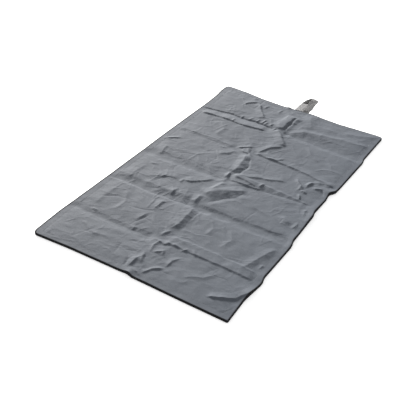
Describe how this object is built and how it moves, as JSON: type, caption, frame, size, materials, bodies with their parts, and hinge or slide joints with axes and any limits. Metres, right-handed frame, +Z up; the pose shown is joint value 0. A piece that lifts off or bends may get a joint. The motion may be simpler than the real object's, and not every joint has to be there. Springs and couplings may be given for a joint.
{
  "type": "infrared sauna blanket",
  "caption": "Thin rectangular heated blanket of stiffened panels that fold up accordion-wise, with a webbing hanging loop at the head end and a power inlet in the side.",
  "frame": {"origin": "on the floor under the middle of the whole object, hanging loop included, which is on the underside of the fourth panel from the foot", "axes": "+Z up out of the grey cover, +Y along the blanket towards the hanging loop, +X across it, to the right when seen from the foot"},
  "size_m": [1, 1.93, 0.0393],
  "materials": {
    "outer_cover": "grey coated polyester, matt with a faint sheen",
    "lining": "black coated lining cloth",
    "binding": "black edge tape over a folded hem",
    "foam": "closed-cell insulation wadding",
    "foil": "aluminised film",
    "carrier_cloth": "non-woven cloth that carries the heating cable",
    "heating_cable": "silicone-covered carbon-fibre heating cable",
    "lead": "black cable insulation",
    "webbing": "light grey ribbed webbing",
    "hook_patch": "black hook-and-loop tape",
    "inlet_plastic": "black moulded plastic",
    "plated_pin": "nickel-plated contact pin",
    "cutout_body": "off-white thermal cut-out body",
    "sensor_resin": "dark epoxy bead"
  },
  "bodies": {
    "panel_1": {"outer_cover_1": "outer_cover", "insulation_foam_1": "foam", "reflective_foil_1": "foil", "heating_cable_1": "heating_cable", "heater_carrier_1": "carrier_cloth", "lining_1": "lining", "edge_binding_left_1": "binding", "edge_binding_right_1": "binding", "end_binding_near": "binding", "cable_end_termination": "lead"},
    "panel_2": {"outer_cover_2": "outer_cover", "insulation_foam_2": "foam", "reflective_foil_2": "foil", "heating_cable_2": "heating_cable", "heater_carrier_2": "carrier_cloth", "lining_2": "lining", "edge_binding_left_2": "binding", "edge_binding_right_2": "binding"},
    "panel_3": {"outer_cover_3": "outer_cover", "insulation_foam_3": "foam", "reflective_foil_3": "foil", "heating_cable_3": "heating_cable", "heater_carrier_3": "carrier_cloth", "lining_3": "lining", "edge_binding_left_3": "binding", "edge_binding_right_3": "binding"},
    "panel_4": {"outer_cover_4": "outer_cover", "insulation_foam_4": "foam", "reflective_foil_4": "foil", "heating_cable_4": "heating_cable", "heater_carrier_4": "carrier_cloth", "lining_4": "lining", "edge_binding_left_4": "binding", "edge_binding_right_4": "binding"},
    "panel_5": {"outer_cover_5": "outer_cover", "insulation_foam_5": "foam", "reflective_foil_5": "foil", "heating_cable_5": "heating_cable", "heater_carrier_5": "carrier_cloth", "lining_5": "lining", "edge_binding_left_5": "binding", "edge_binding_right_5": "binding"},
    "panel_6": {"outer_cover_6": "outer_cover", "insulation_foam_6": "foam", "reflective_foil_6": "foil", "heating_cable_6": "heating_cable", "heater_carrier_6": "carrier_cloth", "lining_6": "lining", "edge_binding_left_6": "binding", "edge_binding_right_6": "binding", "end_binding_far": "binding", "power_inlet_housing": "inlet_plastic", "inlet_pin_live": "plated_pin", "inlet_pin_neutral": "plated_pin", "supply_lead": "lead", "sensor_lead": "lead", "thermal_cutout": "cutout_body", "temperature_sensor": "sensor_resin"},
    "loop": {"hanging_loop": "webbing", "loop_fastener_patch": "hook_patch"}
  },
  "joints": [
    {"name": "fold_1", "type": "hinge", "parent": "panel_1", "child": "panel_2", "pos_m": [0, -0.665, 0.0166], "axis": [1, 0, 0], "range_deg": [0, 172]},
    {"name": "fold_2", "type": "hinge", "parent": "panel_2", "child": "panel_3", "pos_m": [0, -0.365, -0.002], "axis": [-1, 0, 0], "range_deg": [0, 172]},
    {"name": "fold_3", "type": "hinge", "parent": "panel_3", "child": "panel_4", "pos_m": [0, -0.065, 0.0166], "axis": [1, 0, 0], "range_deg": [0, 172]},
    {"name": "fold_4", "type": "hinge", "parent": "panel_4", "child": "panel_5", "pos_m": [0, 0.235, -0.002], "axis": [-1, 0, 0], "range_deg": [0, 172]},
    {"name": "fold_5", "type": "hinge", "parent": "panel_5", "child": "panel_6", "pos_m": [0, 0.535, 0.0166], "axis": [1, 0, 0], "range_deg": [0, 172]},
    {"name": "loop_swing", "type": "hinge", "parent": "panel_6", "child": "loop", "pos_m": [0, 0.835, 0.0063], "axis": [1, 0, 0], "range_deg": [-45, 60]}
  ],
  "couplings": [
    {"joint": "fold_2", "follows": "fold_1", "ratio": 1},
    {"joint": "fold_3", "follows": "fold_1", "ratio": 1},
    {"joint": "fold_4", "follows": "fold_1", "ratio": 1},
    {"joint": "fold_5", "follows": "fold_1", "ratio": 1}
  ]
}
